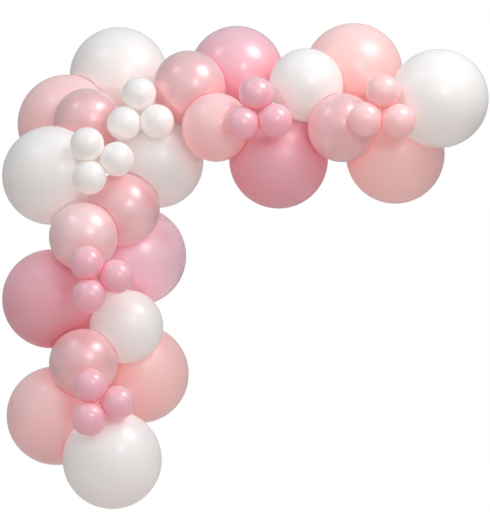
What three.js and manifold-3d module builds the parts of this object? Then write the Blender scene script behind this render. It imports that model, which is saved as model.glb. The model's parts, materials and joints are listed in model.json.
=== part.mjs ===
// A balloon garland for a corner: a column of balloons on the left and an arm along the top.
// Millimetres, +Z up, +X to the right, the front faces -Y.
// The origin is the tie of the corner, where the necks of the corner balloons come together.

import * as THREE from 'three';
import { mergeVertices } from 'three/addons/utils/BufferGeometryUtils.js';
import Module from 'manifold-3d';

const wasm = await Module();
wasm.setup();

// Diameters of the blown balloons
const LARGE = 345;
const LARGE_SOFT = 328;
const MEDIUM_FULL = 258;
const MEDIUM = 240;
const SMALL = 120;

// Tied necks: the tube of the neck, the knot, and how far the knot's end stands past the round body
const NECK_RADIUS = 6;
const KNOT_RADIUS = 9;
const KNOT_LENGTH = 14;
const NECK_LENGTH = 38;
const SMALL_NECK_RADIUS = 3.5;
const SMALL_KNOT_RADIUS = 5;
const SMALL_KNOT_LENGTH = 8;
const SMALL_NECK_LENGTH = 20;

// A trio of small balloons: how hard its three press each other, how hard they press what they lie on,
// how much deeper its first one sinks in, and how far behind the other two they are tied
const TRIO_PRESS = 0.03;
const TRIO_SEAT_PRESS = 0.06;
const TRIO_SINK = 14;
const TRIO_TIE_BACK = 42;
const TRIO_COUNT = 3;

// Clearance between two balloons that press on each other
const CONTACT_GAP = 0.3;

// The least that a pressed balloon keeps from its centre to a flat, as a share of its radius
const LEAST_KEPT = 0.42;

// Where the round body turns into the neck, in degrees from the neck's axis
const THROAT_ANGLE = 28;

// Tied necks, and the balloons as they are blown, with their facets around and from crown to throat
const BIG_NECK = {
  neck: NECK_RADIUS, knot: KNOT_RADIUS, knotLength: KNOT_LENGTH, length: NECK_LENGTH,
};
const TRIO_NECK = {
  neck: SMALL_NECK_RADIUS, knot: SMALL_KNOT_RADIUS, knotLength: SMALL_KNOT_LENGTH,
  length: SMALL_NECK_LENGTH,
};
const LARGE_BLOWN = { radius: LARGE / 2, neck: BIG_NECK, around: 14, along: 8 };
const LARGE_SOFT_BLOWN = { radius: LARGE_SOFT / 2, neck: BIG_NECK, around: 14, along: 8 };
const MEDIUM_FULL_BLOWN = { radius: MEDIUM_FULL / 2, neck: BIG_NECK, around: 12, along: 7 };
const MEDIUM_BLOWN = { radius: MEDIUM / 2, neck: BIG_NECK, around: 12, along: 7 };
const SMALL_BLOWN = { radius: SMALL / 2, neck: TRIO_NECK, around: 9, along: 4 };

// Latex finishes
function latex(colour, roughness, metalness = 0) {
  return { colour, roughness, metalness };
}
const WHITE = latex('#f1eceb', 0.35);
const WHITE_SHINE = latex('#f3eef0', 0.25);
const PEARL_PINK = latex('#dfa3ab', 0.28, 0.3);
const LIGHT_PEARL = latex('#e6b9bb', 0.28, 0.3);
const PEARL_ROSE = latex('#cf8a95', 0.28, 0.3);
const BLUSH = latex('#eac9c2', 0.45);
const BLUSH_PEACH = latex('#e9c0b4', 0.45);
const PEACH = latex('#f0cbbb', 0.42);
const ROSE = latex('#d58fa6', 0.4);
const DEEP_ROSE = latex('#c87a8e', 0.42);

// The large and medium balloons. Their places across and up are counted in large balloons from the
// corner's tie. Each leans on one that is already there, in front of it or behind it, and "press" is
// the share of their two radii by which they squeeze together.
const BIG_BALLOONS = [
  { name: 'corner_inner_white_balloon', blown: LARGE_SOFT_BLOWN, finish: WHITE_SHINE, at: [0.165, -0.485],
    cluster: 'corner' },
  { name: 'column_first_pearl_pink_balloon', blown: MEDIUM_FULL_BLOWN, finish: PEARL_PINK, at: [-0.175, -0.975],
    before: 'corner_inner_white_balloon', press: 0.20, cluster: 'shoulder' },
  { name: 'column_pearl_rose_balloon', blown: LARGE_BLOWN, finish: PEARL_ROSE, at: [-0.035, -1.445],
    behind: 'column_first_pearl_pink_balloon', press: 0.18, cluster: 'column' },
  { name: 'column_light_pearl_balloon', blown: MEDIUM_BLOWN, finish: LIGHT_PEARL, at: [-0.57, -1.25],
    before: 'column_first_pearl_pink_balloon', press: 0.21, cluster: 'column' },
  { name: 'column_deep_rose_balloon', blown: LARGE_BLOWN, finish: DEEP_ROSE, at: [-0.895, -1.88],
    behind: 'column_light_pearl_balloon', press: 0.04, cluster: 'column' },
  { name: 'shoulder_white_balloon', blown: LARGE_BLOWN, finish: WHITE, at: [-0.895, -0.63],
    behind: 'column_first_pearl_pink_balloon', press: 0.076, cluster: 'shoulder' },
  { name: 'corner_pearl_pink_balloon', blown: MEDIUM_BLOWN, finish: PEARL_PINK, at: [-0.54, -0.095],
    behind: 'shoulder_white_balloon', press: 0.195, cluster: 'corner' },
  { name: 'corner_blush_balloon', blown: LARGE_BLOWN, finish: BLUSH, at: [-0.75, -0.10],
    behind: 'corner_pearl_pink_balloon', press: 0.24, cluster: 'shoulder' },
  { name: 'corner_top_white_balloon', blown: LARGE_BLOWN, finish: WHITE, at: [-0.225, 0.385],
    behind: 'corner_blush_balloon', press: 0.22, cluster: 'corner' },
  { name: 'arm_first_pearl_pink_balloon', blown: MEDIUM_FULL_BLOWN, finish: PEARL_PINK, at: [0.495, 0.26],
    before: 'corner_inner_white_balloon', press: 0.025, cluster: 'corner' },
  { name: 'arm_rose_balloon', blown: LARGE_SOFT_BLOWN, finish: ROSE, at: [0.975, 0.415],
    behind: 'arm_first_pearl_pink_balloon', press: 0.18, cluster: 'arm' },
  { name: 'arm_blush_peach_balloon', blown: MEDIUM_BLOWN, finish: BLUSH_PEACH, at: [0.77, -0.145],
    before: 'arm_first_pearl_pink_balloon', press: 0.18, cluster: 'arm' },
  { name: 'arm_deep_rose_balloon', blown: LARGE_BLOWN, finish: DEEP_ROSE, at: [1.40, -0.465],
    behind: 'arm_blush_peach_balloon', press: 0.12, cluster: 'arm' },
  { name: 'arm_white_balloon', blown: MEDIUM_FULL_BLOWN, finish: WHITE, at: [1.68, 0.28],
    before: 'arm_deep_rose_balloon', press: 0.06, cluster: 'arm' },
  { name: 'arm_second_pearl_pink_balloon', blown: MEDIUM_BLOWN, finish: PEARL_PINK, at: [2.04, -0.15],
    before: 'arm_white_balloon', press: 0.16, cluster: 'arm_end' },
  { name: 'arm_blush_balloon', blown: LARGE_BLOWN, finish: BLUSH, at: [2.16, 0.415],
    behind: 'arm_white_balloon', press: 0.18, cluster: 'arm_end' },
  { name: 'arm_end_peach_balloon', blown: LARGE_BLOWN, finish: PEACH, at: [2.58, -0.415],
    behind: 'arm_second_pearl_pink_balloon', press: 0.13, cluster: 'arm_end' },
  { name: 'arm_end_white_balloon', blown: LARGE_BLOWN, finish: WHITE, at: [3.02, 0.145],
    before: 'arm_end_peach_balloon', press: 0.18, cluster: 'arm_end' },
  { name: 'column_white_balloon', blown: MEDIUM_FULL_BLOWN, finish: WHITE, at: [-0.14, -2.16],
    before: 'column_deep_rose_balloon', press: 0.062, cluster: 'column' },
  { name: 'column_second_pearl_pink_balloon', blown: MEDIUM_BLOWN, finish: PEARL_PINK, at: [-0.57, -2.525],
    before: 'column_white_balloon', press: 0.17, cluster: 'foot' },
  { name: 'foot_peach_balloon', blown: LARGE_BLOWN, finish: PEACH, at: [-0.01, -2.64],
    behind: 'column_white_balloon', press: 0.18, cluster: 'foot' },
  { name: 'foot_blush_balloon', blown: LARGE_BLOWN, finish: BLUSH, at: [-0.85, -3.06],
    behind: 'column_second_pearl_pink_balloon', press: 0.15, cluster: 'foot' },
  { name: 'foot_white_balloon', blown: LARGE_BLOWN, finish: WHITE, at: [-0.28, -3.50],
    before: 'foot_blush_balloon', press: 0.18, cluster: 'foot' },
];

// The trios of small balloons, one over the middle of each cluster; "turn" is the first balloon's
// direction in degrees, counted from the right, and the other two follow at thirds of a circle.
const TRIOS = [
  { name: 'corner_white_trio', finish: WHITE, at: [0, 0], turn: 93, cluster: 'corner' },
  { name: 'shoulder_white_trio', finish: WHITE, at: [-0.425, -0.48], turn: 4, cluster: 'shoulder' },
  { name: 'arm_rose_trio', finish: ROSE, at: [1.19, 0], turn: 95, cluster: 'arm' },
  { name: 'arm_end_blush_trio', finish: BLUSH, at: [2.445, 0.02], turn: 87, cluster: 'arm_end' },
  { name: 'column_pink_trio', finish: PEARL_ROSE, at: [-0.425, -1.67], turn: 5, cluster: 'column' },
  { name: 'foot_pink_trio', finish: PEARL_ROSE, at: [-0.41, -2.92], turn: -2, cluster: 'foot' },
];

// How far apart front to back two balloons lie when their centres are "across" apart in the front view
function depthStep(across, reach) {
  return Math.sqrt(Math.max(0, reach * reach - across * across));
}

// Lays the large and medium balloons one by one. One that is too far to the side to touch what it
// leans on is drawn in to it.
function layBigBalloons() {
  const laid = new Map();
  for (const row of BIG_BALLOONS) {
    const centre = new THREE.Vector3(row.at[0] * LARGE, 0, row.at[1] * LARGE);
    const { radius, neck } = row.blown;
    const support = laid.get(row.before ?? row.behind);
    if (support) {
      const reach = (radius + support.radius) * (1 - row.press);
      const offset = centre.clone().sub(support.centre).setY(0).clampLength(0, reach);
      const step = depthStep(offset.length(), reach);
      offset.y = row.before ? -step : step;
      centre.copy(support.centre).add(offset);
    }
    laid.set(row.name, { ...row, centre, radius, neck });
  }
  return [...laid.values()];
}

// Lays a trio against what is behind it, as far back as its own press allows
function layTrio(trio, bigBalloons) {
  const { radius, neck } = SMALL_BLOWN;
  const ring = (radius * 2 / Math.sqrt(3)) * (1 - TRIO_PRESS);
  const members = [];
  for (let k = 0; k < TRIO_COUNT; k += 1) {
    const angle = THREE.MathUtils.degToRad(trio.turn + (360 / TRIO_COUNT) * k);
    const centre = new THREE.Vector3(
      trio.at[0] * LARGE + ring * Math.cos(angle),
      k === 0 ? TRIO_SINK : 0,
      trio.at[1] * LARGE + ring * Math.sin(angle),
    );
    const name = `${trio.name}_${k + 1}`;
    members.push({ ...trio, name, blown: SMALL_BLOWN, centre, radius, neck });
  }
  let depth = Infinity;
  for (const member of members) {
    for (const big of bigBalloons) {
      const across = Math.hypot(member.centre.x - big.centre.x, member.centre.z - big.centre.z);
      const reach = (radius + big.radius) * (1 - TRIO_SEAT_PRESS);
      if (across < reach) {
        depth = Math.min(depth, big.centre.y - depthStep(across, reach) - member.centre.y);
      }
    }
  }
  const tie = new THREE.Vector3(trio.at[0] * LARGE, depth + TRIO_TIE_BACK, trio.at[1] * LARGE);
  for (const member of members) {
    member.centre.y += depth;
    member.tie = tie;
  }
  return members;
}

// Where the flat between two balloons lies: its normal from the first to the second, and the distance
// from the first one's centre. It stands midway in power, or further back where the round outline of
// the one in front would be cut, so that the one behind gives way.
function flatBetween(first, second) {
  const normal = second.centre.clone().sub(first.centre);
  const apart = normal.length();
  normal.divideScalar(apart);
  const sideways = Math.hypot(normal.x, normal.z);
  let fromFirst = (apart ** 2 + first.radius ** 2 - second.radius ** 2) / (2 * apart);
  const pressed = apart < first.radius + second.radius;
  if (pressed && first.centre.y < second.centre.y) {
    fromFirst = Math.max(fromFirst, Math.min(first.radius * sideways, apart - LEAST_KEPT * second.radius));
  } else if (pressed) {
    const fromSecond = Math.max(
      apart - fromFirst,
      Math.min(second.radius * sideways, apart - LEAST_KEPT * first.radius),
    );
    fromFirst = apart - fromSecond;
  }
  return { normal, distance: fromFirst - CONTACT_GAP / 2, pressed };
}

function flatsOf(balloon, all) {
  return all.filter((other) => other !== balloon).map((other) => flatBetween(balloon, other));
}

// How far a knot can stand from the balloon's centre in a direction before it meets a flat
function freeReach(balloon, flats, direction) {
  let reach = Infinity;
  for (const flat of flats) {
    const facing = direction.dot(flat.normal);
    if (facing > 0) {
      const beside = balloon.neck.knot * Math.sqrt(1 - facing * facing);
      reach = Math.min(reach, (flat.distance - beside) / facing);
    }
  }
  return reach;
}

// Turns a big balloon's neck to the gap nearest to the middle of its cluster
const NECK_SEARCH_STEP = 10;
const NECK_SEARCH_END = 120;
function neckDirection(balloon, flats, middle) {
  const wanted = middle.clone().sub(balloon.centre).normalize();
  const side = new THREE.Vector3(0, 1, 0).cross(wanted).normalize();
  const needed = balloon.radius + balloon.neck.length;
  let best = wanted;
  let bestReach = freeReach(balloon, flats, wanted);
  for (let tilt = NECK_SEARCH_STEP; tilt <= NECK_SEARCH_END && bestReach < needed; tilt += NECK_SEARCH_STEP) {
    for (let turn = 0; turn < 360; turn += 2 * NECK_SEARCH_STEP) {
      const direction = wanted.clone()
        .applyAxisAngle(side, THREE.MathUtils.degToRad(tilt))
        .applyAxisAngle(wanted, THREE.MathUtils.degToRad(turn));
      const reach = freeReach(balloon, flats, direction);
      if (reach > bestReach) {
        best = direction;
        bestReach = reach;
      }
    }
  }
  return { direction: best, end: Math.min(needed, bestReach) };
}

// The outline of a balloon from its crown, at the bottom, to the end of its knot
function balloonOutline(blown, end) {
  const { radius, neck, around, along } = blown;
  const swollen = (radius * 2) / (1 + Math.cos(Math.PI / around));
  const bodyEnd = Math.PI - THREE.MathUtils.degToRad(THROAT_ANGLE);
  const points = [];
  for (let k = 0; k <= along; k += 1) {
    const angle = (bodyEnd * k) / along;
    points.push(new THREE.Vector2(swollen * Math.sin(angle), -swollen * Math.cos(angle)));
  }
  points.push(new THREE.Vector2(neck.neck, end - neck.knotLength));
  points.push(new THREE.Vector2(neck.knot, end - neck.knotLength / 2));
  points.push(new THREE.Vector2(0, end));
  return points;
}

function solidOf(geometry) {
  geometry.deleteAttribute('normal');
  geometry.deleteAttribute('uv');
  const merged = mergeVertices(geometry, 1e-3);
  const corners = [];
  for (let k = 0; k < merged.index.count; k += 3) {
    const [a, b, c] = [0, 1, 2].map((n) => merged.index.getX(k + n));
    if (a !== b && b !== c && c !== a) corners.push(a, b, c);
  }
  return new wasm.Manifold(new wasm.Mesh({
    numProp: 3,
    vertProperties: new Float32Array(merged.attributes.position.array),
    triVerts: new Uint32Array(corners),
  }));
}

function geometryOf(solid) {
  const mesh = solid.getMesh();
  const geometry = new THREE.BufferGeometry();
  geometry.setAttribute('position', new THREE.Float32BufferAttribute(mesh.vertProperties, 3));
  geometry.setIndex([...mesh.triVerts]);
  geometry.computeVertexNormals();
  return geometry;
}

// What lies beyond a flat, as a block to cut away, wide enough for the whole balloon
function beyondFlat(normal, distance, radius) {
  const block = 4 * radius;
  const geometry = new THREE.BoxGeometry(block, block, block);
  const turn = new THREE.Quaternion().setFromUnitVectors(new THREE.Vector3(0, 0, 1), normal);
  geometry.translate(0, 0, distance + block / 2);
  geometry.applyQuaternion(turn);
  return solidOf(geometry);
}

// Points the neck of a trio's balloon at the trio's tie, and a big one's into its cluster
function placeNeck(balloon, flats, middle) {
  if (!balloon.tie) return neckDirection(balloon, flats, middle);
  const direction = balloon.tie.clone().sub(balloon.centre).normalize();
  const needed = balloon.radius + balloon.neck.length;
  return { direction, end: Math.min(needed, freeReach(balloon, flats, direction)) };
}

function blowBalloon(balloon) {
  const { centre, radius, blown, flats, direction, end, finish } = balloon;
  const turn = new THREE.Quaternion().setFromUnitVectors(new THREE.Vector3(0, 1, 0), direction);
  const turnBack = turn.clone().invert();
  let solid = solidOf(new THREE.LatheGeometry(balloonOutline(blown, end), blown.around));
  for (const flat of flats.filter((candidate) => candidate.pressed)) {
    const normal = flat.normal.clone().applyQuaternion(turnBack);
    solid = solid.subtract(beyondFlat(normal, flat.distance, radius));
  }
  const mesh = new THREE.Mesh(geometryOf(solid), new THREE.MeshStandardMaterial({
    color: finish.colour,
    roughness: finish.roughness,
    metalness: finish.metalness,
  }));
  mesh.name = balloon.name;
  mesh.position.copy(centre);
  mesh.quaternion.copy(turn);
  return mesh;
}

function meanOf(points) {
  const mean = new THREE.Vector3();
  for (const point of points) mean.addScaledVector(point, 1 / points.length);
  return mean;
}

const bigBalloons = layBigBalloons();
const smallBalloons = TRIOS.flatMap((trio) => layTrio(trio, bigBalloons));
const balloons = [...bigBalloons, ...smallBalloons];

for (const balloon of balloons) {
  const cluster = bigBalloons.filter((other) => other.cluster === balloon.cluster);
  balloon.flats = flatsOf(balloon, balloons);
  Object.assign(balloon, placeNeck(balloon, balloon.flats, meanOf(cluster.map((other) => other.centre))));
}

const cornerKnots = bigBalloons
  .filter((balloon) => balloon.cluster === 'corner')
  .map((balloon) => balloon.centre.clone().addScaledVector(balloon.direction, balloon.end));
const cornerTie = meanOf(cornerKnots);

const garland = new THREE.Group();
for (const balloon of balloons) {
  const mesh = blowBalloon(balloon);
  mesh.position.sub(cornerTie);
  garland.add(mesh);
}

export default garland;
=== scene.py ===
# %% [markdown]
# # A corner garland of latex balloons
# The object hangs in the air by its tied necks: a column of balloons on the left and an arm along the
# top. Every balloon is its own thin latex skin, blown round, knotted, and pressed softly against its
# neighbours. The solid model already says where each one stands and how big it is. This script blows
# the same balloons again with a smooth skin, a pleated neck and a real knot, and gives them latex.

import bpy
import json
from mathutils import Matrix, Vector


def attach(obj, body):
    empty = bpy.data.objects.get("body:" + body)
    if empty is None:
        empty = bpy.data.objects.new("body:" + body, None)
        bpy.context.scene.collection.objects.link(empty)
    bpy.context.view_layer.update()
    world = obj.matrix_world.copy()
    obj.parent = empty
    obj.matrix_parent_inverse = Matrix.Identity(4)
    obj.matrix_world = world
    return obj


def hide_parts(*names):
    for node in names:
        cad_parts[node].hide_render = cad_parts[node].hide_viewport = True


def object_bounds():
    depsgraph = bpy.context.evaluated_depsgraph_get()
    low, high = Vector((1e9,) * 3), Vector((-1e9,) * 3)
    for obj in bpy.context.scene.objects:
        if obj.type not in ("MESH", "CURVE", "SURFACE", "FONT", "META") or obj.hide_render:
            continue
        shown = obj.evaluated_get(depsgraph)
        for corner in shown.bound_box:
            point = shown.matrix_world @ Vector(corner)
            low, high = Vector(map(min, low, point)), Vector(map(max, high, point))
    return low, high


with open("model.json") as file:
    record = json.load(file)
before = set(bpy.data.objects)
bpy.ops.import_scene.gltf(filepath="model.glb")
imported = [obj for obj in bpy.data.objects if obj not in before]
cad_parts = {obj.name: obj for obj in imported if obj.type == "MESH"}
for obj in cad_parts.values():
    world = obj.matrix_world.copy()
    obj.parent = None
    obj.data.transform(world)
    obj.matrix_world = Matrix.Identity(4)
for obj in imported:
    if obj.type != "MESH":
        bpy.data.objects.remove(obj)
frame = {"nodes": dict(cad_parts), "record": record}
lowest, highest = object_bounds()

import bpy
import json
import math
import numpy as np
from mathutils import Vector

print("balloons in the solid model:", len(frame["nodes"]))

# %% [markdown]
# ## Finding a balloon's middle
# A balloon is told by three things: the middle of its round body, how far it is blown, and where its
# knot points. The solid's corners give all three. Most of them lie on one sphere, and a least-squares
# sphere through them finds the middle. It is fitted again and again, each time without the corners that
# were far from the last one, because flats and necks would pull it to the side.

# %% Fit a sphere to the round body
FIT_ROUNDS = 30
NEAR_BODY = 0.012
SURELY_BODY = 45


def fit_sphere(points):
    rows = np.hstack([2 * points, np.ones((len(points), 1))])
    answer = np.linalg.lstsq(rows, (points ** 2).sum(axis=1), rcond=None)[0]
    middle = answer[:3]
    return middle, math.sqrt(answer[3] + middle @ middle)


def fit_body(corners):
    on_body = corners
    for _ in range(FIT_ROUNDS):
        middle, radius = fit_sphere(on_body)
        off = np.abs(np.linalg.norm(corners - middle, axis=1) - radius)
        on_body = corners[off < max(NEAR_BODY * radius, np.percentile(off, SURELY_BODY))]
    return middle, radius


print("sphere fit ready")

# %% [markdown]
# ## Reading the size and the knot
# Balloons are blown to a few sizes with a gauge, a board with round holes, so the measured size is
# rounded to the nearest hole. The corners of a faceted ball stand a little outside of the round one, and
# that is taken off first. The knot is what sticks out past the body, and its mean gives its direction.

# %% Measure every balloon
GAUGES = (0.345, 0.328, 0.258, 0.240, 0.120)
FACETS_SWELL = 1.015
KNOT_STANDS_OUT = 1.09


def measure_balloon(node):
    corners = np.array([corner.co for corner in node.data.vertices], dtype=float)
    middle, radius = fit_body(corners)
    away = np.linalg.norm(corners - middle, axis=1)
    knot = corners[away > KNOT_STANDS_OUT * radius]
    towards_knot = (knot - middle).mean(axis=0)
    towards_knot /= np.linalg.norm(towards_knot)
    gauge = min(GAUGES, key=lambda size: abs(size / 2 - radius / FACETS_SWELL))
    return {
        "middle": middle,
        "gauge": gauge,
        "radius": gauge / 2,
        "neck_way": towards_knot,
        "knot_end": float(((corners - middle) @ towards_knot).max()),
    }


finish_of = {part["node"]: part["material_slot"] for part in frame["record"]["subparts"]}
balloons = {name: measure_balloon(node) for name, node in frame["nodes"].items()}
for name in sorted(balloons):
    balloon = balloons[name]
    diameter, knot_end = (round(1000 * balloon[key]) for key in ("gauge", "knot_end"))
    print(name, "diameter", diameter, "mm, knot", knot_end, "mm")

# %% [markdown]
# ## Small helpers for node trees
# Geometry and shader trees are both long when written by hand, so a few helpers keep them readable: one
# adds a node and sets its values, one writes a sum or a product the way it would be said aloud, and one
# opens a node group with named inputs and outputs.

# %% Tree helpers


class Tree:
    """A node tree that is built one named step at a time."""

    def __init__(self, tree):
        self.tree = tree

    def add(self, kind, inputs=(), **settings):
        node = self.tree.nodes.new(kind)
        for key, value in settings.items():
            setattr(node, key, value)
        for socket, value in dict(inputs).items():
            self.feed(node.inputs[socket], value)
        return node

    def feed(self, socket, value):
        if isinstance(value, bpy.types.NodeSocket):
            self.tree.links.new(value, socket)
        else:
            socket.default_value = value

    def math(self, operation, *values, clamp=False):
        node = self.add("ShaderNodeMath", enumerate(values), operation=operation, use_clamp=clamp)
        return node.outputs[0]

    def ramp(self, value, low, high, out_low=0.0, out_high=1.0, smooth=True):
        """Turns value between low and high into a number between out_low and out_high."""
        node = self.add(
            "ShaderNodeMapRange",
            {"Value": value, "From Min": low, "From Max": high, "To Min": out_low, "To Max": out_high},
            interpolation_type="SMOOTHSTEP" if smooth else "LINEAR",
        )
        return node.outputs["Result"]

    def mix_colour(self, share, first, second):
        node = self.add("ShaderNodeMix", data_type="RGBA", clamp_factor=True)
        self.feed(node.inputs[0], share)
        self.feed(node.inputs[6], first)
        self.feed(node.inputs[7], second)
        return node.outputs[2]


def new_group(name, kind, inputs, outputs):
    """A node group with named inputs (name, socket kind, first value) and outputs (name, socket kind)."""
    group = bpy.data.node_groups.new(name, kind)
    for label, socket_kind, first in inputs:
        socket = group.interface.new_socket(label, in_out="INPUT", socket_type=socket_kind)
        if first is not None:
            socket.default_value = first
    for label, socket_kind in outputs:
        group.interface.new_socket(label, in_out="OUTPUT", socket_type=socket_kind)
    tree = Tree(group)
    return tree, tree.add("NodeGroupInput"), tree.add("NodeGroupOutput")


print("helpers ready")

# %% [markdown]
# ## The round body
# Latex is moulded on a dipped form, so a blown balloon is round about one axis: a nearly perfect ball
# with a slightly thicker crown where the drop hung on the form. It could be lathed from a curve or
# sculpted. Here a Geometry Nodes tree bends a fine sphere into the outline, because forty-one balloons
# of five sizes then come out of one rule. The outline is written as two numbers, how far out and how
# far up, for a share "along" that runs from 0 at the crown to 1 at the end of the knot.

# %% Outline of the body
THROAT = math.radians(28)
NECK_RINGS = 0.30
BUTTON_RINGS = 0.035


def body_outline(tree, size, along):
    """The round body, from the crown to the throat."""
    body_share = tree.math("DIVIDE", along, 1.0 - NECK_RINGS, clamp=True)
    angle = tree.math("MULTIPLY", body_share, math.pi - THROAT)
    out = tree.math("MULTIPLY", size["Radius"], tree.math("SINE", angle))
    up = tree.math("MULTIPLY", size["Radius"], tree.math("MULTIPLY", tree.math("COSINE", angle), -1.0))
    button = tree.ramp(along, 0.0, BUTTON_RINGS, size["Crown Button"], 0.0)
    return out, tree.math("SUBTRACT", up, button)


print("body outline ready")

# %% [markdown]
# ## The throat
# Below the body the latex narrows to the neck in one smooth sweep. A straight cone would leave a kink
# at both ends, so the sweep is a curve with four control points: it leaves the body in the direction
# that the body has there, and it ends straight along the neck.

# %% Outline of the throat
KNOT_RINGS = 0.45
THROAT_LEAD = 0.55
NECK_LEAD = 0.25


def throat_outline(tree, size, share, neck_up):
    """The curve from the body to the neck."""
    done = tree.math("DIVIDE", share, 1.0 - KNOT_RINGS, clamp=True)
    rest = tree.math("SUBTRACT", 1.0, done)
    weights = (
        tree.math("POWER", rest, 3.0),
        tree.math("MULTIPLY", 3.0, tree.math("MULTIPLY", tree.math("POWER", rest, 2.0), done)),
        tree.math("MULTIPLY", 3.0, tree.math("MULTIPLY", rest, tree.math("POWER", done, 2.0))),
        tree.math("POWER", done, 3.0),
    )
    start_out = tree.math("MULTIPLY", size["Radius"], math.sin(THROAT))
    start_up = tree.math("MULTIPLY", size["Radius"], math.cos(THROAT))
    gap_up = tree.math("SUBTRACT", neck_up, start_up)
    lead = tree.math("MULTIPLY", gap_up, THROAT_LEAD / math.sin(THROAT))
    outs = (
        start_out,
        tree.math("SUBTRACT", start_out, tree.math("MULTIPLY", lead, math.cos(THROAT))),
        size["Neck Radius"],
        size["Neck Radius"],
    )
    ups = (
        start_up,
        tree.math("ADD", start_up, tree.math("MULTIPLY", lead, math.sin(THROAT))),
        tree.math("SUBTRACT", neck_up, tree.math("MULTIPLY", gap_up, NECK_LEAD)),
        neck_up,
    )

    def blend(values):
        total = 0.0
        for weight, value in zip(weights, values):
            total = tree.math("ADD", total, tree.math("MULTIPLY", weight, value))
        return total

    return blend(outs), blend(ups)


print("throat outline ready")

# %% [markdown]
# ## The knot and its tail
# The neck is tied into a round knot, and past it the tail flares to the rolled lip that the balloon was
# blown through. Modelling the real loop of latex would hardly show at this size, so the knot is a bulge
# of the same skin. The very end closes, which also shuts the mesh at its upper pole.

# %% Outline of the knot
BULGE_RISES = (0.0, 0.25)
BULGE_FALLS = (0.35, 0.6)
LIP_RISES = (0.6, 0.85)
LIP_SHARE = 0.8
END_CLOSES = (0.85, 1.0)
WAIST_SHARE = 0.9


def knot_outline(tree, size, share, neck_up):
    """The knot, then the tail with its lip."""
    done = tree.ramp(share, 1.0 - KNOT_RINGS, 1.0, smooth=False)
    bulge = tree.math("MULTIPLY", tree.ramp(done, *BULGE_RISES), tree.ramp(done, *BULGE_FALLS, 1.0, 0.0))
    lip = tree.math("MULTIPLY", tree.ramp(done, *LIP_RISES), LIP_SHARE)
    swell = tree.math("MAXIMUM", bulge, lip)
    close = tree.math("SQRT", tree.ramp(done, *END_CLOSES, 1.0, 0.0, smooth=False))
    room = tree.math("SUBTRACT", size["Knot Radius"], size["Neck Radius"])
    waist = tree.math("MULTIPLY", size["Neck Radius"], WAIST_SHARE)
    out = tree.math("MULTIPLY", close, tree.math("ADD", waist, tree.math("MULTIPLY", room, swell)))
    up = tree.math("ADD", neck_up, tree.math("MULTIPLY", size["Knot Length"], done))
    return out, up


print("knot outline ready")

# %% [markdown]
# ## Pleats in the throat
# Where latex narrows to a tied neck it gathers into fine pleats, which run down the throat and fade out
# on the body. A sine wave around the axis makes them, strongest in the throat and weaker on the knot.

# %% Pleats
PLEATS_RISE = (0.76, 0.86)
PLEATS_WEAKEN = (0.5, 0.6)
PLEATS_ON_KNOT = 0.25
AXIS_WIDTH = 0.001


def pleated(tree, size, along, share, turn, out):
    """Adds the pleats to how far out the skin stands, except on the axis itself."""
    strength = tree.math(
        "MULTIPLY",
        tree.ramp(along, *PLEATS_RISE),
        tree.ramp(share, *PLEATS_WEAKEN, 1.0, PLEATS_ON_KNOT),
    )
    wave = tree.math("SINE", tree.math("MULTIPLY", turn, size["Pleats"]))
    pleat = tree.math("MULTIPLY", tree.math("MULTIPLY", wave, strength), size["Pleat Depth"])
    off_axis = tree.math("GREATER_THAN", out, AXIS_WIDTH)
    return tree.math("MAXIMUM", tree.math("ADD", out, tree.math("MULTIPLY", pleat, off_axis)), 0.0)


print("pleats ready")

# %% [markdown]
# ## The whole balloon as one tree
# The tree takes a sphere, reads for each of its corners how far along and how far around it lies, and
# moves it to where the body, the throat or the knot has that corner. It also stores the share along as
# an attribute, because the latex is thicker at the crown and in the throat and its colour needs to know.

# %% Inputs of the tree
FROM_CROWN = "from_crown"
BALLOON_INPUTS = [
    ("Radius", "NodeSocketFloat", 0.17),
    ("Knot End", "NodeSocketFloat", 0.2),
    ("Neck Radius", "NodeSocketFloat", 0.006),
    ("Knot Radius", "NodeSocketFloat", 0.009),
    ("Knot Length", "NodeSocketFloat", 0.014),
    ("Pleats", "NodeSocketInt", 22),
    ("Pleat Depth", "NodeSocketFloat", 0.0012),
    ("Crown Button", "NodeSocketFloat", 0.0008),
    ("Around", "NodeSocketInt", 96),
    ("Along", "NodeSocketInt", 64),
    ("Latex", "NodeSocketMaterial", None),
]


def choose(tree, test, when_not, when_so):
    node = tree.add("GeometryNodeSwitch", {0: test, 1: when_not, 2: when_so}, input_type="FLOAT")
    return node.outputs[0]


print("inputs of a balloon:", len(BALLOON_INPUTS))

# %% [markdown]
# ## Building the tree
# The steps are put together here in the order in which a corner passes through them: where it lies on
# the sphere, which of the three outlines it belongs to, its pleat, and its new place. The mesh is then
# smoothed, made real and given its latex.

# %% Tree for the blown balloon


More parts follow.
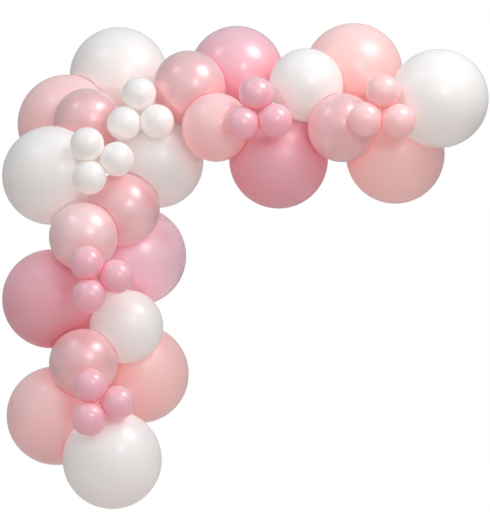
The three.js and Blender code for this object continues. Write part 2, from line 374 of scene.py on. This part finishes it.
def build_balloon_tree():
    tree, given, result = new_group(
        "Blown balloon", "GeometryNodeTree", BALLOON_INPUTS, [("Balloon", "NodeSocketGeometry")],
    )
    size = given.outputs
    ball = tree.add(
        "GeometryNodeMeshUVSphere",
        {"Segments": size["Around"], "Rings": size["Along"], "Radius": 1.0},
    )
    place = tree.add("ShaderNodeSeparateXYZ", {0: tree.add("GeometryNodeInputPosition").outputs[0]})
    x, y, z = place.outputs
    height = tree.math("MINIMUM", tree.math("MAXIMUM", z, -1.0), 1.0)
    along = tree.math("SUBTRACT", 1.0, tree.math("DIVIDE", tree.math("ARCCOSINE", height), math.pi))
    turn = tree.math("ARCTAN2", y, x)
    share = tree.ramp(along, 1.0 - NECK_RINGS, 1.0, smooth=False)
    neck_up = tree.math("SUBTRACT", size["Knot End"], size["Knot Length"])
    body_out, body_up = body_outline(tree, size, along)
    throat_out, throat_up = throat_outline(tree, size, share, neck_up)
    knot_out, knot_up = knot_outline(tree, size, share, neck_up)
    in_neck = tree.math("GREATER_THAN", share, 0.0)
    in_knot = tree.math("GREATER_THAN", share, 1.0 - KNOT_RINGS)
    out = choose(tree, in_knot, choose(tree, in_neck, body_out, throat_out), knot_out)
    up = choose(tree, in_knot, choose(tree, in_neck, body_up, throat_up), knot_up)
    out = pleated(tree, size, along, share, turn, out)
    new_place = tree.add("ShaderNodeCombineXYZ", {
        0: tree.math("MULTIPLY", out, tree.math("COSINE", turn)),
        1: tree.math("MULTIPLY", out, tree.math("SINE", turn)),
        2: up,
    })
    stored = tree.add(
        "GeometryNodeStoreNamedAttribute",
        {"Geometry": ball.outputs["Mesh"], "Name": FROM_CROWN, "Value": along},
        data_type="FLOAT",
        domain="POINT",
    )
    bent = tree.add(
        "GeometryNodeSetPosition",
        {"Geometry": stored.outputs["Geometry"], "Position": new_place.outputs[0]},
    )
    smooth = tree.add("GeometryNodeSetShadeSmooth", {"Geometry": bent.outputs["Geometry"]})
    real = tree.add("GeometryNodeRealizeInstances", {"Geometry": smooth.outputs["Geometry"]})
    skinned = tree.add(
        "GeometryNodeSetMaterial",
        {"Geometry": real.outputs["Geometry"], "Material": size["Latex"]},
    )
    tree.feed(result.inputs["Balloon"], skinned.outputs["Geometry"])
    return tree.tree


balloon_tree = build_balloon_tree()
print("balloon tree nodes:", len(balloon_tree.nodes))

# %% [markdown]
# ## How deep the latex looks, with painted shade and light
# Balloon latex is dyed all through. Where its wall is thick, in a small button at the crown and along
# the throat, the dye looks deeper. On the underside and in the creases between balloons the same deep
# colour is mixed in as painted shade. The skin also gives out a painted fill light as emission, mostly in
# the creases and a little everywhere, so creases stay soft instead of turning black. All this is made
# once in a node group for the depth of the latex and its painted shade and light, and each finish places
# it with its own colours.

# %% Amounts for the depth of the latex and for its painted shade and light
SHELTER = "shelter"
UNDERSIDE = "underside"
BUTTON_SHARE = 0.028
BUTTON_CORE = 0.45
THROAT_DEEPENS = (0.68, 0.85)
THROAT_DEPTH = 0.8
CLOUD_RISES = (0.35, 0.7)
# Painted shade: how far the underside and the creases are mixed towards the deep colour
UNDERSIDE_PAINTED_SHADE = 0.5
CREASE_PAINTED_SHADE = 0.25
CONTACT_RISES = (0.92, 1.0)
# Painted fill light given out by the skin: less of it at a contact, a little on open skin, partly in the
# deep colour
CONTACT_PAINTED_FILL = 0.65
OPEN_PAINTED_FILL = 0.1
DEEP_SHARE_OF_PAINTED_FILL = 0.1
ROUGHNESS_RANGE = 0.10
FINE_GRAIN = 420.0
DEPTH_AND_PAINTED_LIGHT_INPUTS = [
    ("Colour", "NodeSocketColor", (0.8, 0.5, 0.5, 1)),
    ("Deep And Shade Colour", "NodeSocketColor", (0.6, 0.3, 0.3, 1)),
    ("From Crown", "NodeSocketFloat", 0.5),
    ("Shelter", "NodeSocketFloat", 0.0),
    ("Underside", "NodeSocketFloat", 0.0),
    ("Button", "NodeSocketFloat", 0.5),
    ("Painted Fill Strength", "NodeSocketFloat", 0.1),
    ("Cloud Size", "NodeSocketFloat", 9.0),
    ("Cloud Strength", "NodeSocketFloat", 0.12),
    ("Roughness", "NodeSocketFloat", 0.4),
]
DEPTH_AND_PAINTED_LIGHT_OUTPUTS = [
    ("Colour", "NodeSocketColor"),
    ("Roughness", "NodeSocketFloat"),
    ("Height", "NodeSocketFloat"),
    ("Painted Fill Light", "NodeSocketColor"),
]
print("inputs of the latex:", len(DEPTH_AND_PAINTED_LIGHT_INPUTS))

# %% [markdown]
# ## Building the depth of the latex and its painted shade and light
# The deepest of four wins: the crown's button, the throat, a faint cloudiness of the dye, and painted
# shade on the underside and in the creases. A painted fill light goes out as a glow, strongest in the
# creases and weaker right at a contact. The same clouds make the skin a little rougher here and there,
# and a very fine grain goes out as a height, because latex is never quite as smooth as glass.

# %% Node group for the depth of the latex and its painted shade and light


def build_latex_depth_and_painted_light():
    tree, given, result = new_group("Latex depth and painted light", "ShaderNodeTree", DEPTH_AND_PAINTED_LIGHT_INPUTS, DEPTH_AND_PAINTED_LIGHT_OUTPUTS)
    value = given.outputs
    where = tree.add("ShaderNodeTexCoord").outputs["Object"]
    cloud = tree.add("ShaderNodeTexNoise", {"Vector": where, "Scale": value["Cloud Size"], "Detail": 3.0})
    grain = tree.add("ShaderNodeTexNoise", {"Vector": where, "Scale": FINE_GRAIN, "Detail": 2.0})
    button = tree.ramp(value["From Crown"], BUTTON_SHARE * BUTTON_CORE, BUTTON_SHARE, 1.0, 0.0)
    button = tree.math("MULTIPLY", button, value["Button"])
    throat = tree.ramp(value["From Crown"], *THROAT_DEEPENS, 0.0, THROAT_DEPTH)
    cloudy = tree.math("MULTIPLY", tree.ramp(cloud.outputs[0], *CLOUD_RISES), value["Cloud Strength"])
    # Shelter from the neighbours sets the painted shade in the creases and the painted fill light
    sheltered_share = tree.ramp(value["Shelter"], 0.0, 1.0, smooth=False)
    # Painted shade on the underside, where less light falls, added to the painted shade in the creases
    underside = tree.math("MULTIPLY", value["Underside"], UNDERSIDE_PAINTED_SHADE)
    shaded = tree.math("ADD", underside, tree.math("MULTIPLY", sheltered_share, CREASE_PAINTED_SHADE), clamp=True)
    depth_and_shade = tree.math("MAXIMUM", tree.math("MAXIMUM", button, throat), cloudy)
    depth_and_shade = tree.math("MAXIMUM", depth_and_shade, shaded)
    colour = tree.mix_colour(depth_and_shade, value["Colour"], value["Deep And Shade Colour"])

    # Painted fill light that the skin gives out as emission, mostly in the creases, less of it right at a
    # contact
    contact = tree.ramp(value["Shelter"], *CONTACT_RISES, 1.0, CONTACT_PAINTED_FILL)
    painted_fill_share = tree.math("MULTIPLY", tree.math("ADD", OPEN_PAINTED_FILL, sheltered_share), value["Painted Fill Strength"])
    painted_fill_share = tree.math("MULTIPLY", painted_fill_share, contact)
    painted_fill = tree.mix_colour(DEEP_SHARE_OF_PAINTED_FILL, colour, value["Deep And Shade Colour"])
    painted_glow = tree.mix_colour(painted_fill_share, (0.0, 0.0, 0.0, 1.0), painted_fill)
    uneven = tree.math("MULTIPLY", tree.math("SUBTRACT", cloud.outputs[0], 0.5), ROUGHNESS_RANGE)
    tree.feed(result.inputs["Colour"], colour)
    tree.feed(result.inputs["Roughness"], tree.math("ADD", value["Roughness"], uneven))
    tree.feed(result.inputs["Height"], grain.outputs[0])
    tree.feed(result.inputs["Painted Fill Light"], painted_glow)
    return tree.tree


latex_depth_and_painted_light = build_latex_depth_and_painted_light()
print("latex depth nodes:", len(latex_depth_and_painted_light.nodes))

# %% [markdown]
# ## Mica pearl
# Pearl latex has mica flakes in it. They lie in slow streams left by the dipping, and they throw a
# silvery glow, partly like a metal. A large soft noise makes the streams and a very fine one the flakes.
# The group puts out a colour and how metallic the skin is, and the finish adds its own share to that.

# %% Node group for the mica pearl
STREAM_RISES = (0.35, 0.75)
FLAKES_RISE = (0.62, 0.75)
FLAKE_SIZE = 900.0
FLAKE_SHARE = 0.12
METAL_RISES = (0.3, 0.8)
METAL_RANGE = 0.08


def build_mica_pearl():
    tree, given, result = new_group(
        "Mica pearl",
        "ShaderNodeTree",
        [
            ("Colour", "NodeSocketColor", (0.8, 0.5, 0.5, 1)),
            ("Pearl Colour", "NodeSocketColor", (1, 0.9, 0.9, 1)),
            ("Flow Size", "NodeSocketFloat", 9.0),
            ("Flow Strength", "NodeSocketFloat", 0.2),
        ],
        [("Colour", "NodeSocketColor"), ("Metal", "NodeSocketFloat")],
    )
    value = given.outputs
    where = tree.add("ShaderNodeTexCoord").outputs["Object"]
    flow = tree.add(
        "ShaderNodeTexNoise",
        {"Vector": where, "Scale": value["Flow Size"], "Detail": 2.0, "Distortion": 0.4},
    )
    flakes = tree.add("ShaderNodeTexNoise", {"Vector": where, "Scale": FLAKE_SIZE, "Detail": 1.0})
    share = tree.math("MULTIPLY", tree.ramp(flow.outputs[0], *STREAM_RISES), value["Flow Strength"])
    share = tree.math("ADD", share, tree.ramp(flakes.outputs[0], *FLAKES_RISE, 0.0, FLAKE_SHARE))
    tree.feed(result.inputs["Colour"], tree.mix_colour(share, value["Colour"], value["Pearl Colour"]))
    tree.feed(result.inputs["Metal"], tree.ramp(flow.outputs[0], *METAL_RISES, 0.0, METAL_RANGE))
    return tree.tree


mica_pearl = build_mica_pearl()
print("mica pearl nodes:", len(mica_pearl.nodes))

# %% [markdown]
# ## One recipe for every latex
# All finishes are the same latex with another dye, so one recipe makes them. Light sinks into the wall
# and spreads before it comes out again, red farther than green and blue in pink latex, which is what
# subsurface scattering is for. Over that lies a soft sheen, and a thin clear coat gives the small bright
# highlights. Pearl latex has more coat and some metal, and matt latex has little of the first and none
# of the other. Dye colours are written as they look on a screen and turned into linear numbers.

# %% Recipe for a latex
MICA_FLOW = 0.18
SOAK_DEPTH = 0.05
SOAK_SHARE = 0.5
BLUE_SOAK = 0.85
SHEEN_LEVEL = {"pearl": 0.45, "plain": 0.95}
COAT_ROUGHNESS = {"pearl": 0.24, "plain": 0.19}
GRAIN = {"Strength": 0.04, "Distance": 0.0004}


def linear(red, green, blue):
    """A colour as seen on a screen, 0 to 255, as linear numbers."""
    parts = [channel / 255 for channel in (red, green, blue)]
    return (*(part / 12.92 if part <= 0.04045 else ((part + 0.055) / 1.055) ** 2.4 for part in parts), 1.0)


def make_latex(name, colour, deep_and_shade, soak, painted_fill=0.24, roughness=0.42, pearl=0.0, coat=0.12, button=0.25):
    """One dyed latex. Soak is how far green light travels in it when red light travels 1, the number after
    the soak is how strong the painted fill light is that the skin gives out as emission, and button is how
    much deeper the dye looks at the crown."""
    material = bpy.data.materials.new(name)
    material.use_nodes = True
    tree = Tree(material.node_tree)
    shader = material.node_tree.nodes["Principled BSDF"]
    kind = "pearl" if pearl else "plain"
    depth_and_shade = tree.add("ShaderNodeGroup", node_tree=latex_depth_and_painted_light)
    for socket, value in {
        "Colour": linear(*colour),
        "Deep And Shade Colour": linear(*deep_and_shade),
        "From Crown": tree.add("ShaderNodeAttribute", attribute_name=FROM_CROWN).outputs["Fac"],
        "Shelter": tree.add("ShaderNodeAttribute", attribute_name=SHELTER).outputs["Fac"],
        "Underside": tree.add("ShaderNodeAttribute", attribute_name=UNDERSIDE).outputs["Fac"],
        "Button": button,
        "Painted Fill Strength": painted_fill,
        "Roughness": roughness,
    }.items():
        tree.feed(depth_and_shade.inputs[socket], value)
    colour_out = depth_and_shade.outputs["Colour"]
    if pearl:
        mica = tree.add("ShaderNodeGroup", node_tree=mica_pearl)
        tree.feed(mica.inputs["Colour"], colour_out)
        tree.feed(mica.inputs["Flow Strength"], MICA_FLOW)
        colour_out = mica.outputs["Colour"]
        tree.feed(shader.inputs["Metallic"], tree.math("ADD", mica.outputs["Metal"], pearl))
    bump = tree.add("ShaderNodeBump", {**GRAIN, "Height": depth_and_shade.outputs["Height"]})
    tree.feed(shader.inputs["Base Color"], colour_out)
    tree.feed(shader.inputs["Roughness"], depth_and_shade.outputs["Roughness"])
    tree.feed(shader.inputs["Normal"], bump.outputs[0])
    # Painted fill light: the glow goes out as emission, though the skin is no lamp
    tree.feed(shader.inputs["Emission Color"], depth_and_shade.outputs["Painted Fill Light"])
    shader.inputs["Emission Strength"].default_value = 1.0
    shader.inputs["Specular IOR Level"].default_value = SHEEN_LEVEL[kind]
    shader.inputs["Coat Weight"].default_value = coat
    shader.inputs["Coat Roughness"].default_value = COAT_ROUGHNESS[kind]
    shader.inputs["Subsurface Weight"].default_value = SOAK_SHARE
    shader.inputs["Subsurface Radius"].default_value = (1.0, soak, soak * BLUE_SOAK)
    shader.inputs["Subsurface Scale"].default_value = SOAK_DEPTH
    return material


print("recipe ready")

# %% [markdown]
# ## The nine finishes
# The garland mixes nine latexes: two whites, three pearls, and four plain pinks from peach to deep rose.
# White latex lets all colours of light travel about equally far, so its soak is near 1, and pink latex
# stops green and blue early. The small balloons are blown from the same latex as some large ones.

# %% Finishes
WHITE_SOAK = 0.9
PINK_SOAK = 0.2
# The second colour of each finish is its deeper dye at the crown and throat and also its painted shade on
# the underside and in the creases. The number after the soak sets its painted fill light.
finishes = {
    "white_latex": make_latex(
        "white latex", (229, 229, 228), (222, 206, 200), WHITE_SOAK, 0.28, coat=0.4, button=0.1,
    ),
    "pearl_white_latex": make_latex(
        "pearl white latex", (222, 222, 221), (214, 196, 191), WHITE_SOAK, 0.25, pearl=0.05, coat=0.4,
    ),
    "pearl_pink_latex": make_latex(
        "pearl pink latex", (224, 185, 189), (212, 132, 132), PINK_SOAK, 0.34, 0.36, pearl=0.2, coat=0.9,
    ),
    "light_pearl_latex": make_latex(
        "light pearl latex", (236, 208, 210), (218, 148, 150), PINK_SOAK, 0.2, 0.36, pearl=0.2, coat=0.9,
    ),
    "pearl_rose_latex": make_latex(
        "pearl rose latex", (238, 206, 217), (220, 138, 158), PINK_SOAK, 0.32, 0.36, pearl=0.15, coat=0.9,
    ),
    "blush_latex": make_latex(
        "blush latex", (239, 203, 204), (224, 136, 134), PINK_SOAK, 0.27, coat=0.6, button=0.5,
    ),
    "peach_latex": make_latex(
        "peach latex", (238, 203, 201), (226, 142, 132), PINK_SOAK, 0.28, coat=0.3,
    ),
    "rose_latex": make_latex(
        "rose latex", (227, 182, 195), (216, 104, 118), PINK_SOAK, 0.3, coat=1.0, button=0.6,
    ),
    "deep_rose_latex": make_latex(
        "deep rose latex", (230, 180, 192), (198, 72, 84), PINK_SOAK, 0.2, coat=0.2,
    ),
}
print("finishes:", ", ".join(finishes))

# %% [markdown]
# ## Where two balloons press on each other
# Two balloons squeezed together give way to each other. A cloth or soft-body simulation could find the
# shape, but in a garland seen from the front it is known beforehand: the one in front keeps its round
# outline and the one behind is dented. So a plane is laid between every two that touch, midway in
# power, or farther back where it would cut the outline of the one in front.

# %% Flats between balloons
CONTACT_GAP = 0.0003
LEAST_KEPT = 0.42


def flat_between(first, second):
    """The way to the second balloon, how far the first keeps, how far apart they are, and the second's
    radius with the gap."""
    way = second["middle"] - first["middle"]
    apart = np.linalg.norm(way)
    way = way / apart
    sideways = math.hypot(way[0], way[2])
    keep = (apart ** 2 + first["radius"] ** 2 - second["radius"] ** 2) / (2 * apart)
    if first["middle"][1] < second["middle"][1]:
        keep = max(keep, min(first["radius"] * sideways, apart - LEAST_KEPT * second["radius"]))
    else:
        other = max(apart - keep, min(second["radius"] * sideways, apart - LEAST_KEPT * first["radius"]))
        keep = apart - other
    return way, keep - CONTACT_GAP / 2, apart, second["radius"] + CONTACT_GAP


def flats_of(name):
    here = balloons[name]
    found = []
    for other_name, other in balloons.items():
        apart = np.linalg.norm(other["middle"] - here["middle"])
        if other_name != name and apart < here["radius"] + other["radius"]:
            found.append(flat_between(here, other))
    return found


print("pressed pairs:", sum(len(flats_of(name)) for name in balloons) // 2)

# %% [markdown]
# ## Holding the skin back
# A point of the skin may go outwards until it meets the plane, or, where that would leave a gap in
# sight, until it meets the neighbour's round side. The edge of such a dent is rounded over a few
# millimetres, as stretched latex can't fold sharply.

# %% Press the skin
SHOULDER = 0.035
BARELY_FACING = 1e-3
FAR_AWAY = 10.0


def press(points, flats, radius):
    """Holds points, counted from the balloon's middle, back where a neighbour's flat or round side is."""
    away = np.linalg.norm(points, axis=1)
    ways = points / away[:, None]
    shoulder = SHOULDER * radius
    held = away.copy()
    for way, keep, apart, other_radius in flats:
        facing = ways @ way
        flat = keep / np.maximum(facing, BARELY_FACING)
        across = other_radius ** 2 - apart ** 2 * (1 - facing ** 2)
        round_side = apart * facing - np.sqrt(np.maximum(across, 0.0))
        meets = (facing > BARELY_FACING) & (across > 0.0)
        limit = np.where(meets, np.maximum(flat, round_side), np.inf)
        near = np.maximum(shoulder - np.abs(held - np.minimum(limit, FAR_AWAY)), 0.0) / shoulder
        held = np.minimum(held, limit) - near ** 2 * shoulder / 4
    return ways * held[:, None]


print("shoulder on a large balloon:", round(1000 * SHOULDER * max(GAUGES) / 2, 1), "mm")

# %% [markdown]
# ## Blowing one balloon
# A blank object carries the tree as a modifier, with this balloon's sizes as its inputs. The result is
# turned into a plain mesh and the blank is thrown away. Then the skin is turned so that its knot points
# where the solid says, pressed, and moved to its place. All of that goes into the mesh, so that the
# finished object itself sits at the origin.

# %% Blow, turn and press
FINENESS = {0.345: (120, 96), 0.328: (120, 96), 0.258: (96, 80), 0.240: (96, 80), 0.120: (64, 60)}
SMALL_GAUGE = 0.120
CROWN_BUTTON = 0.004
BIG_NECK = {
    "Neck Radius": 0.0055, "Knot Radius": 0.0088, "Knot Length": 0.014,
    "Pleats": 20, "Pleat Depth": 0.0012,
}
SMALL_NECK = {
    "Neck Radius": 0.0032, "Knot Radius": 0.0049, "Knot Length": 0.008,
    "Pleats": 14, "Pleat Depth": 0.0006,
}


def set_inputs(modifier, values):
    for item in modifier.node_group.interface.items_tree:
        if item.item_type == "SOCKET" and item.in_out == "INPUT" and item.name in values:
            modifier[item.identifier] = values[item.name]


def blow(name):
    balloon = balloons[name]
    around, along = FINENESS[balloon["gauge"]]
    blank = bpy.data.objects.new(name + "_blank", bpy.data.meshes.new(name + "_blank"))
    bpy.context.scene.collection.objects.link(blank)
    modifier = blank.modifiers.new("Blown balloon", "NODES")
    modifier.node_group = balloon_tree
    set_inputs(modifier, {
        "Radius": balloon["radius"],
        "Knot End": balloon["knot_end"],
        "Crown Button": CROWN_BUTTON * balloon["radius"],
        "Around": around,
        "Along": along,
        "Latex": finishes[finish_of[name]],
        **(SMALL_NECK if balloon["gauge"] == SMALL_GAUGE else BIG_NECK),
    })
    seen = blank.evaluated_get(bpy.context.evaluated_depsgraph_get())
    skin = bpy.data.meshes.new_from_object(seen)
    bpy.data.objects.remove(blank)
    points = np.empty(len(skin.vertices) * 3)
    skin.vertices.foreach_get("co", points)
    turn = np.array(Vector((0, 0, 1)).rotation_difference(Vector(balloon["neck_way"])).to_matrix())
    points = press(points.reshape(-1, 3) @ turn.T, flats_of(name), balloon["radius"]) + balloon["middle"]
    skin.vertices.foreach_set("co", points.ravel())
    skin.update()
    piece = bpy.data.objects.new(name + "_skin", skin)
    bpy.context.scene.collection.objects.link(piece)
    return piece


print("blowing", len(balloons), "balloons")

# %% [markdown]
# ## Shelter and underside
# Two more attributes tell the latex where its skin lies. Shelter is how much of the room a point loses
# to the balloons around it: each neighbour counts for the share of the view that it fills, more when it
# stands straight ahead. Underside is how far the skin faces down. Both set painted shade in the latex,
# and shelter also sets its painted fill light. Both are known from the middles and the radii alone, so
# they cost no light tracing and stay right from every side.

# %% Shelter of the skin


def shelter_and_underside(name, piece):
    """For each corner of the skin, from 0 to 1: the room lost to its neighbours, and its facing down."""
    count = len(piece.data.vertices)
    points = np.empty(count * 3)
    ways = np.empty(count * 3)
    piece.data.vertices.foreach_get("co", points)
    piece.data.vertices.foreach_get("normal", ways)
    points = points.reshape(-1, 3)
    ways = ways.reshape(-1, 3)
    lost = np.zeros(count)
    for other_name, other in balloons.items():
        if other_name == name:
            continue
        towards = other["middle"] - points
        apart = np.linalg.norm(towards, axis=1)
        facing = (towards * ways).sum(axis=1) / apart
        lost += np.maximum(facing, 0.0) * np.minimum(other["radius"] / apart, 1.0) ** 2
    return np.minimum(lost, 1.0), 0.5 - 0.5 * ways[:, 2]


print("shelter ready")

# %% [markdown]
# ## All forty-one
# Now each balloon of the solid model is blown, gets its two attributes, and takes the place of its
# solid. It rides on the garland's only body, since nothing in it moves.

# %% Dress the garland
total = 0
for name in sorted(balloons):
    piece = blow(name)
    for attribute, values in zip((SHELTER, UNDERSIDE), shelter_and_underside(name, piece)):
        piece.data.attributes.new(attribute, "FLOAT", "POINT").data.foreach_set("value", values)
    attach(piece, "root")
    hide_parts(name)
    total += sum(len(face.vertices) - 2 for face in piece.data.polygons)
print("triangles in all:", total)

# %% [markdown]
# ## The floor
# The garland hangs in the air of a white studio. A plain pale floor lies well below it, out of the
# picture from the front, and catches a faint shadow in the views from other sides.

# %% Floor
FLOOR_DROP = 0.42
FLOOR_REACH = 3.0
FLOOR_ROUGHNESS = 0.7

floor_paint = bpy.data.materials.new("pale floor")
floor_paint.use_nodes = True
floor_shader = floor_paint.node_tree.nodes["Principled BSDF"]
floor_shader.inputs["Base Color"].default_value = linear(236, 234, 232)
floor_shader.inputs["Roughness"].default_value = FLOOR_ROUGHNESS
floor_height = lowest[2] - FLOOR_DROP
floor_mesh = bpy.data.meshes.new("studio_floor")
floor_mesh.from_pydata(
    [(x * FLOOR_REACH, y * FLOOR_REACH, floor_height) for x, y in ((-1, -1), (1, -1), (1, 1), (-1, 1))],
    [],
    [(0, 1, 2, 3)],
)
floor_mesh.materials.append(floor_paint)
floor = bpy.data.objects.new("studio_floor", floor_mesh)
bpy.context.scene.collection.objects.link(floor)
print("floor height", round(floor_height, 3))

# %% [markdown]
# ## The white room
# Soft light from all around is what makes latex look soft, so the room itself gives most of it: cooler
# and brighter from above, warmer and dimmer from below, and brighter in front than behind. The camera
# sees plain white instead, as in a picture taken before a white wall.

# %% Room
LOW_LIGHT = (0.44, 0.41, 0.39, 1.0)
HIGH_LIGHT = (0.84, 0.85, 0.87, 1.0)
SKY_RISES = (-0.8, 0.8)
FRONT_TO_BACK = (-1.0, 0.2)
FRONT_STRENGTH, BACK_STRENGTH = 1.24, 0.60

room = bpy.data.worlds.new("white room")
bpy.context.scene.world = room
room.use_nodes = True
room_tree = Tree(room.node_tree)
room_light = room.node_tree.nodes["Background"]
looking = room_tree.add("ShaderNodeTexCoord").outputs["Generated"]
sky_way = room_tree.add("ShaderNodeSeparateXYZ", {0: looking})
sky = room_tree.mix_colour(room_tree.ramp(sky_way.outputs[2], *SKY_RISES), LOW_LIGHT, HIGH_LIGHT)
strength = room_tree.ramp(sky_way.outputs[1], *FRONT_TO_BACK, FRONT_STRENGTH, BACK_STRENGTH)
room_tree.feed(room_light.inputs["Color"], sky)
room_tree.feed(room_light.inputs["Strength"], strength)
backdrop = room_tree.add("ShaderNodeBackground", {"Color": (1.0, 1.0, 1.0, 1.0)})
seen_straight = room_tree.add("ShaderNodeLightPath").outputs["Is Camera Ray"]
choice = room_tree.add("ShaderNodeMixShader", {0: seen_straight})
room_tree.feed(choice.inputs[1], room_light.outputs[0])
room_tree.feed(choice.inputs[2], backdrop.outputs[0])
room_tree.feed(room.node_tree.nodes["World Output"].inputs[0], choice.outputs[0])
print("room nodes:", len(room.node_tree.nodes))

# %% [markdown]
# ## What the picture shows
# The picture's scale comes from the small balloons: 120 mm of latex across 34.4 pixels is 3.5 mm a
# pixel. The middle of the picture then follows from where the corner's small trio has to stand in it.

# %% Middle of the view
PHOTO_SCALE = 0.0035
PHOTO_ACROSS, PHOTO_DOWN = 490, 512
CORNER_TRIO_IN_PHOTO = (140.4, 113.5)
corner_trio = np.mean([balloons["corner_white_trio_%d" % k]["middle"] for k in (1, 2, 3)], axis=0)
view_middle = Vector((
    corner_trio[0] + (PHOTO_ACROSS / 2 - CORNER_TRIO_IN_PHOTO[0]) * PHOTO_SCALE,
    0.0,
    corner_trio[2] - (PHOTO_DOWN / 2 - CORNER_TRIO_IN_PHOTO[1]) * PHOTO_SCALE,
))
print("view middle", [round(value, 4) for value in view_middle])

# %% [markdown]
# ## Three lamps
# A large soft lamp stands high on the right and makes the main highlight. A smaller one high on the left
# adds the faint second highlight along the arm, and a weak one near the camera adds the third.

# %% Lamps


def add_lamp(name, way, distance, size, power, target=view_middle):
    """A round lamp that stands in a direction from its target and looks back at it."""
    lamp = bpy.data.lights.new(name, "AREA")
    lamp.shape = "DISK"
    lamp.size = size
    lamp.energy = power
    holder = bpy.data.objects.new(name, lamp)
    bpy.context.scene.collection.objects.link(holder)
    way = Vector(way).normalized()
    holder.location = target + way * distance
    holder.rotation_mode = "QUATERNION"
    holder.rotation_quaternion = way.to_track_quat("Z", "Y")


arm_middle = Vector((0.8, 0.0, 0.0))
add_lamp("key lamp", (0.54, -0.32, 0.78), 5.0, 2.5, 96)
add_lamp("left lamp", (-0.64, -0.30, 0.70), 5.0, 1.3, 12, target=arm_middle)
add_lamp("front lamp", (0.29, -0.89, 0.35), 6.0, 1.5, 36)
print("lamps:", len(bpy.data.lights))

# %% [markdown]
# ## The camera
# The photo shows every balloon's outline as a true circle and none from the side, so it was taken
# straight on and from far away. A long lens does the same here.

# %% Camera
CAMERA_DISTANCE = 60.0
camera_data = bpy.data.cameras.new("camera")
camera_data.sensor_width = 36.0
camera_data.lens = camera_data.sensor_width * CAMERA_DISTANCE / (PHOTO_DOWN * PHOTO_SCALE)
camera_data.clip_end = 2 * CAMERA_DISTANCE
camera = bpy.data.objects.new("camera", camera_data)
bpy.context.scene.collection.objects.link(camera)
camera.location = view_middle + Vector((0.0, -CAMERA_DISTANCE, 0.0))
camera.rotation_euler = (math.radians(90), 0.0, 0.0)
bpy.context.scene.camera = camera
bpy.context.scene.view_settings.view_transform = "Standard"
print("lens", round(camera_data.lens), "mm")
